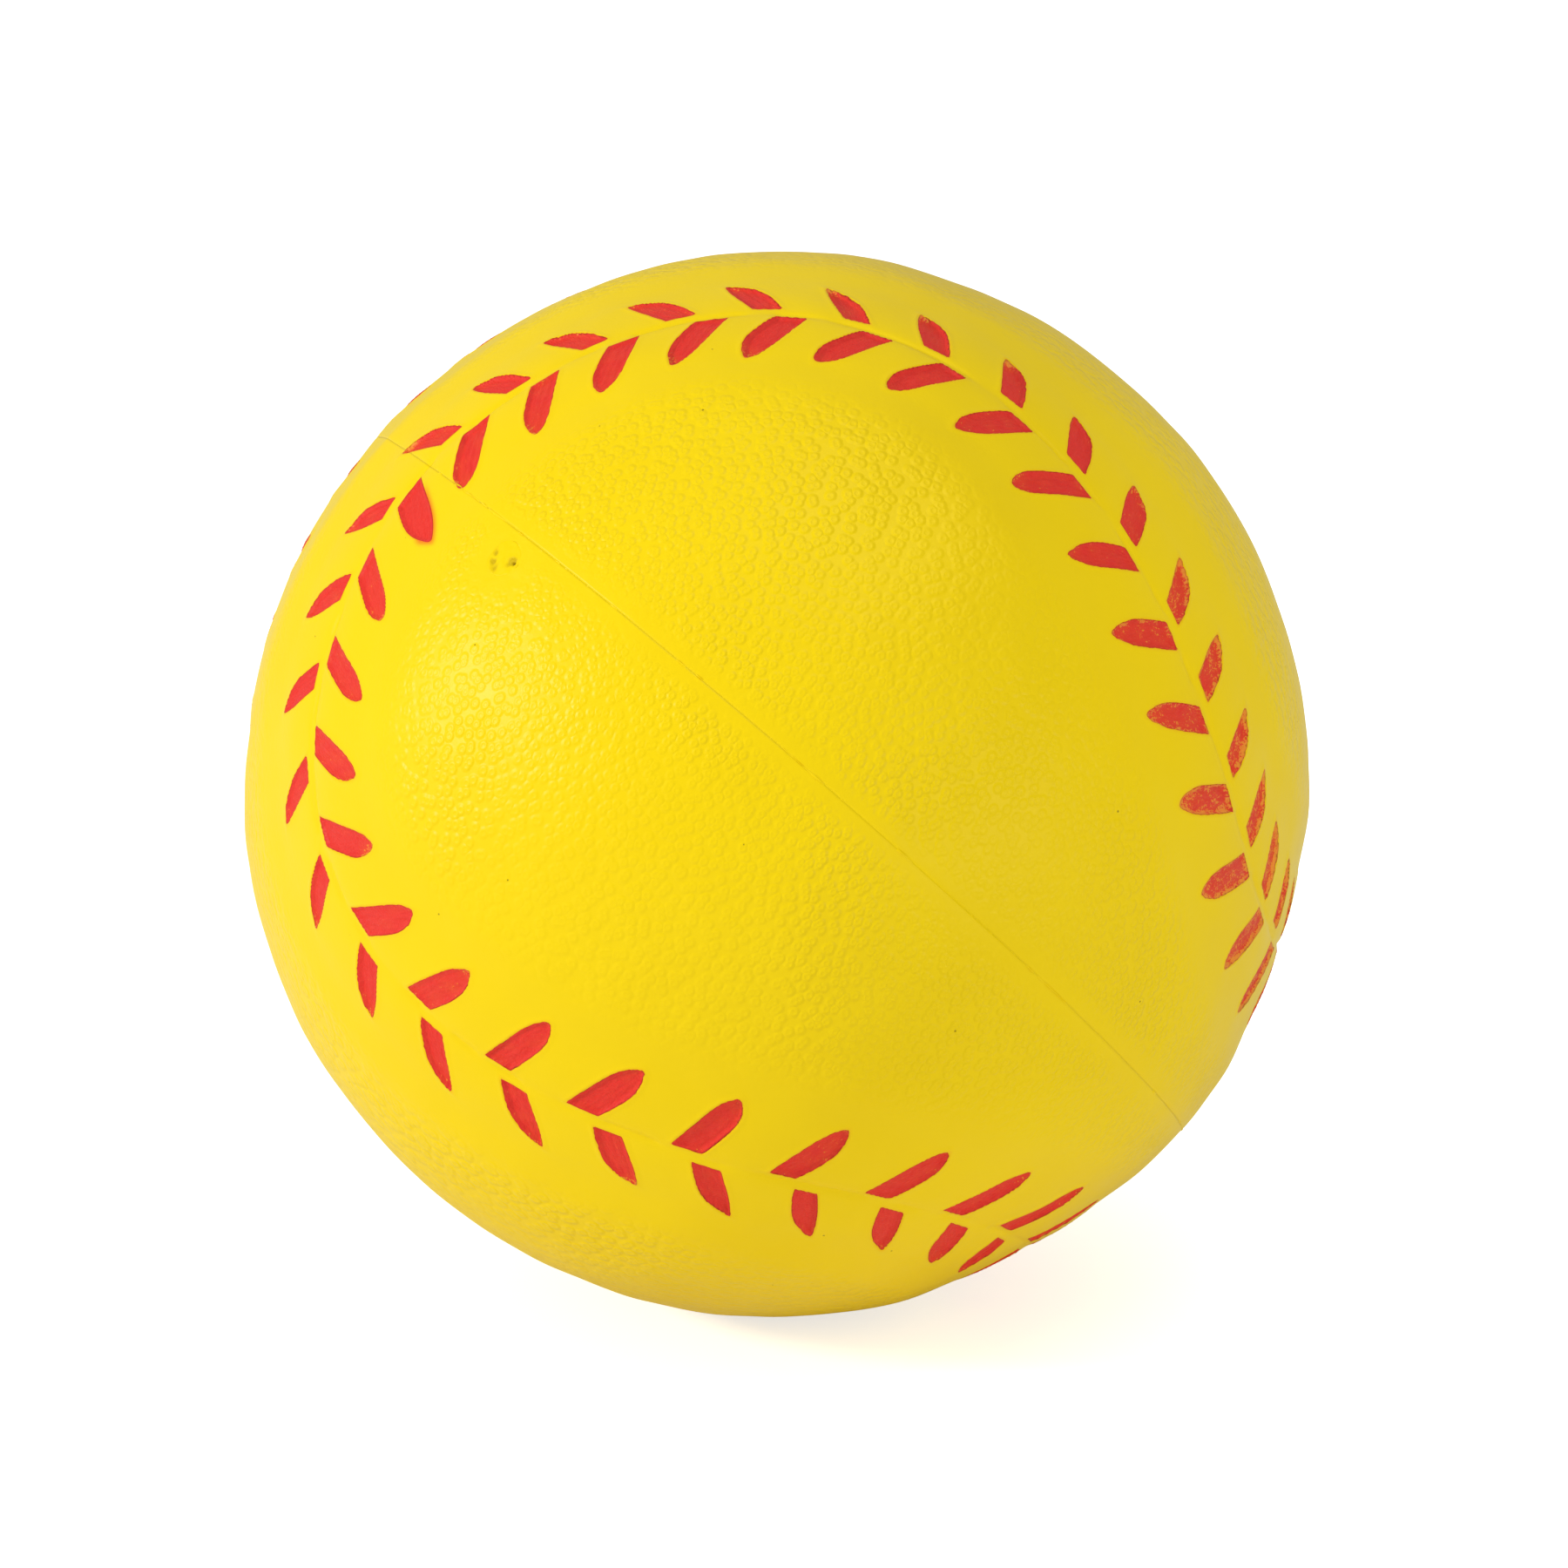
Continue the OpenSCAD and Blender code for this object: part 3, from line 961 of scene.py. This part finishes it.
# The floor, in m: it glows to be as white as the picture's ground
FLOOR_HALF = 4.0
FLOOR_WHITE = 0.93
FLOOR_GLOW = 0.66


def area_light(name, right, up, toward, size, power):
    """A square soft light, placed by its direction from the ball as the camera sees it."""
    light = bpy.data.lights.new(name, "AREA")
    light.shape = "SQUARE"
    light.size = size
    light.energy = power
    obj = bpy.data.objects.new(name, light)
    way = (RIGHT * right + UP * up + TOWARD * toward).normalized()
    obj.location = way * LIGHT_FAR
    obj.rotation_euler = way.to_track_quat("Z", "Y").to_euler()
    bpy.context.scene.collection.objects.link(obj)


def white_room():
    """Even white light from all round."""
    world = bpy.data.worlds.new("white_room")
    bpy.context.scene.world = world
    world.use_nodes = True
    background = world.node_tree.nodes["Background"]
    background.inputs["Color"].default_value = (1, 1, 1, 1)
    background.inputs["Strength"].default_value = ROOM_LIGHT


def white_floor():
    """The table under the ball. It is the only thing that its own glow may light."""
    mesh = bpy.data.meshes.new("floor")
    half, low = FLOOR_HALF, -BALL_R * MM
    corners = [(-half, -half, low), (half, -half, low), (half, half, low), (-half, half, low)]
    mesh.from_pydata(corners, [], [(0, 1, 2, 3)])
    floor = bpy.data.objects.new("floor", mesh)
    bpy.context.scene.collection.objects.link(floor)
    s = Shader("white_table")
    s.set(s.surface, {"Base Color": (FLOOR_WHITE, FLOOR_WHITE, FLOOR_WHITE, 1), "Roughness": 0.9,
                      "Emission Color": (1, 1, 1, 1), "Emission Strength": FLOOR_GLOW})
    mesh.materials.append(s.material)
    lit_by_floor = bpy.data.collections.new("lit_by_floor")
    lit_by_floor.objects.link(floor)
    floor.light_linking.receiver_collection = lit_by_floor


def front_camera():
    camera = bpy.data.cameras.new("camera")
    camera.sensor_width = SENSOR_MM
    camera.lens = LENS_MM
    camera.shift_x = CAMERA_SHIFT
    obj = bpy.data.objects.new("camera", camera)
    obj.location = TOWARD * CAMERA_FAR * BALL_R * MM
    obj.rotation_euler = TOWARD.to_track_quat("Z", "Y").to_euler()
    bpy.context.scene.collection.objects.link(obj)
    bpy.context.scene.camera = obj


def stage():
    white_room()
    for name, light in LIGHTS.items():
        area_light(name, *light)
    white_floor()
    bpy.context.scene.view_settings.view_transform = "Standard"
    front_camera()


# Assembly

def assemble(piece, body, nodes, material):
    """Gives a piece its material and its body, and hides the CAD nodes that it stands for."""
    piece.data.materials.append(material)
    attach(piece, body)
    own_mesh(piece)
    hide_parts(*nodes)


def build():
    skin, paint = yellow_skin(), red_paint()
    for side, half, body in ((1, "upper", "finger_half"), (-1, "lower", "palm_half")):
        piece, points, faces, shape = skin_half(side)
        assemble(piece, body, [f"skin_{half}_half"], skin)
        for row in ROWS:
            film = film_of(points, faces, shape, row, side)
            assemble(film, body, [f"stitch_paint_row{row}_{half}"], paint)
    assemble(parting_bead(), "palm_half", ["parting_flash"], skin)
    assemble(pour_plug(), "palm_half", ["pour_nub"], cut_foam())
    assemble(foam_body(), "palm_half", ["foam_core"], open_foam())


build()
stage()
